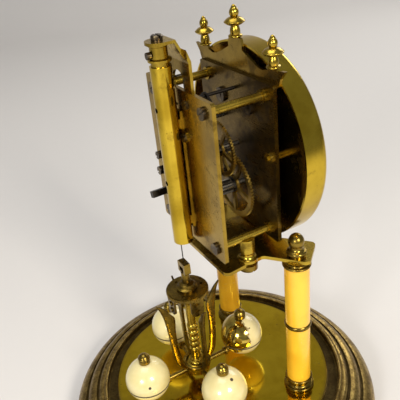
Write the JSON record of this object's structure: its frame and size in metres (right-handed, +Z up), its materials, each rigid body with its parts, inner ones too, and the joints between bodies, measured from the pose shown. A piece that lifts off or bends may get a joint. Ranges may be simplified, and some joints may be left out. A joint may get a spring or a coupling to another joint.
{
  "type": "torsion pendulum clock",
  "caption": "Table clock on a round moulded brass base: enamelled columns carry an open plated movement with a dial, over a slow rotating pendulum of enamelled balls.",
  "frame": {"origin": "middle of the base on the table", "axes": "+Z up, the dial faces -Y, the pendulum hangs on the +Y side, +X to the right seen from the dial"},
  "size_m": [0.1912, 0.1912, 0.2456],
  "materials": {
    "aged_brass": "aged, mottled, grainy",
    "polished_brass": "polished",
    "satin_brass": "satin, lightly aged",
    "ivory_enamel": "glossy yellow-ivory enamel",
    "cream_enamel": "glossy cream enamel, chipped",
    "dial_enamel": "smooth off-white enamel",
    "dark_steel": "blackened",
    "blued_steel": "black satin",
    "spring_steel": "bright"
  },
  "bodies": {
    "frame": {"base_shell": "aged_brass", "base_disc": "polished_brass", "column_feet": "satin_brass", "column_lower_sleeves": "ivory_enamel", "column_rings": "satin_brass", "column_upper_sleeves": "ivory_enamel", "column_rods": "dark_steel", "column_acorn_nuts": "satin_brass", "movement_platform": "satin_brass", "movement_posts": "satin_brass", "platform_bolts": "dark_steel", "back_plate": "polished_brass", "front_plate": "satin_brass", "plate_pillars": "satin_brass", "crown_gallery": "satin_brass", "centre_finial": "satin_brass", "side_finials": "satin_brass", "dial_posts": "satin_brass", "dial_plate": "polished_brass", "dial_face": "dial_enamel", "bezel": "polished_brass", "suspension_bracket": "satin_brass", "suspension_saddle": "satin_brass", "suspension_tube": "polished_brass", "tube_strap": "satin_brass", "movement_screws": "dark_steel", "click_spring": "dark_steel"},
    "barrel": {"mainspring_barrel": "satin_brass", "barrel_cover": "satin_brass", "mainspring": "dark_steel"},
    "winding": {"winding_arbor": "dark_steel", "ratchet_wheel": "satin_brass"},
    "click": {"click": "dark_steel"},
    "second": {"second_wheel": "satin_brass"},
    "centre": {"centre_wheel": "satin_brass", "cannon_pinion": "satin_brass", "minute_hand": "blued_steel"},
    "third": {"third_wheel": "satin_brass"},
    "escape": {"escape_wheel": "satin_brass"},
    "minute": {"minute_wheel": "satin_brass"},
    "hour": {"hour_wheel": "satin_brass", "hour_hand": "blued_steel"},
    "anchor": {"anchor": "dark_steel"},
    "fork": {"suspension_fork": "satin_brass"},
    "pendulum": {"suspension_spring": "spring_steel", "pendulum_hook": "satin_brass", "pendulum_crown": "satin_brass", "crown_screws": "dark_steel", "pendulum_column": "satin_brass", "pendulum_cap": "satin_brass", "pendulum_horns": "satin_brass"},
    "regulator": {"regulating_disc": "polished_brass"},
    "ball_1": {"ball_1": "cream_enamel", "ball_fittings_1": "satin_brass"},
    "ball_2": {"ball_2": "cream_enamel", "ball_fittings_2": "satin_brass"},
    "ball_3": {"ball_3": "cream_enamel", "ball_fittings_3": "satin_brass"},
    "ball_4": {"ball_4": "cream_enamel", "ball_fittings_4": "satin_brass"}
  },
  "joints": [
    {"name": "centre_spin", "type": "hinge", "parent": "frame", "child": "centre", "pos_m": [0, -0.01, 0.1756], "axis": [0, 1, 0], "continuous": true},
    {"name": "second_spin", "type": "hinge", "parent": "frame", "child": "second", "pos_m": [-0.00434, -0.01, 0.15505], "axis": [0, 1, 0], "continuous": true},
    {"name": "barrel_spin", "type": "hinge", "parent": "frame", "child": "barrel", "pos_m": [0.016, -0.01, 0.15349], "axis": [0, 1, 0], "continuous": true},
    {"name": "third_spin", "type": "hinge", "parent": "frame", "child": "third", "pos_m": [0.0125, -0.01, 0.18785], "axis": [0, 1, 0], "continuous": true},
    {"name": "escape_spin", "type": "hinge", "parent": "frame", "child": "escape", "pos_m": [0, -0.01, 0.19614], "axis": [0, 1, 0], "continuous": true},
    {"name": "minute_spin", "type": "hinge", "parent": "frame", "child": "minute", "pos_m": [-0.00707, -0.01, 0.16853], "axis": [0, 1, 0], "continuous": true},
    {"name": "hour_spin", "type": "hinge", "parent": "frame", "child": "hour", "pos_m": [0, -0.01, 0.1756], "axis": [0, 1, 0], "continuous": true},
    {"name": "winding_spin", "type": "hinge", "parent": "frame", "child": "winding", "pos_m": [0.016, -0.01, 0.15349], "axis": [0, 1, 0], "continuous": true},
    {"name": "click_lift", "type": "hinge", "parent": "frame", "child": "click", "pos_m": [0.0263, 0.009, 0.16059], "axis": [0, 1, 0], "range_deg": [0, 10], "stiffness_Nm_per_rad": 0.002},
    {"name": "pendulum_swing", "type": "hinge", "parent": "frame", "child": "pendulum", "pos_m": [0, 0.016, 0.116], "axis": [0, 0, 1], "range_deg": [-150, 150]},
    {"name": "fork_turn", "type": "hinge", "parent": "frame", "child": "fork", "pos_m": [0, 0.016, 0.2185], "axis": [0, 0, 1], "range_deg": [-4, 4]},
    {"name": "anchor_rock", "type": "hinge", "parent": "frame", "child": "anchor", "pos_m": [0, -0.01, 0.20564], "axis": [0, 1, 0], "range_deg": [-4, 4]},
    {"name": "regulator_turn", "type": "hinge", "parent": "pendulum", "child": "regulator", "pos_m": [0, 0.016, 0.097], "axis": [0, 0, 1], "range_deg": [-170, 170]},
    {"name": "ball_1_slide", "type": "slide", "parent": "pendulum", "child": "ball_1", "axis": [1, 0, 0], "range_m": [-0.0015, 0.0015]},
    {"name": "ball_2_slide", "type": "slide", "parent": "pendulum", "child": "ball_2", "axis": [0, 1, 0], "range_m": [-0.0015, 0.0015]},
    {"name": "ball_3_slide", "type": "slide", "parent": "pendulum", "child": "ball_3", "axis": [-1, 0, 0], "range_m": [-0.0015, 0.0015]},
    {"name": "ball_4_slide", "type": "slide", "parent": "pendulum", "child": "ball_4", "axis": [0, -1, 0], "range_m": [-0.0015, 0.0015]}
  ],
  "couplings": [
    {"joint": "second_spin", "follows": "centre_spin", "ratio": -0.16667},
    {"joint": "barrel_spin", "follows": "centre_spin", "ratio": 0.035714},
    {"joint": "third_spin", "follows": "centre_spin", "ratio": -6},
    {"joint": "escape_spin", "follows": "centre_spin", "ratio": 24},
    {"joint": "minute_spin", "follows": "centre_spin", "ratio": -0.33333},
    {"joint": "hour_spin", "follows": "centre_spin", "ratio": 0.083333},
    {"joint": "fork_turn", "follows": "pendulum_swing", "ratio": 0.026667},
    {"joint": "anchor_rock", "follows": "pendulum_swing", "ratio": 0.026667},
    {"joint": "ball_1_slide", "follows": "regulator_turn", "m_per_rad": 0.0005055},
    {"joint": "ball_2_slide", "follows": "regulator_turn", "m_per_rad": 0.0005055},
    {"joint": "ball_3_slide", "follows": "regulator_turn", "m_per_rad": 0.0005055},
    {"joint": "ball_4_slide", "follows": "regulator_turn", "m_per_rad": 0.0005055}
  ]
}
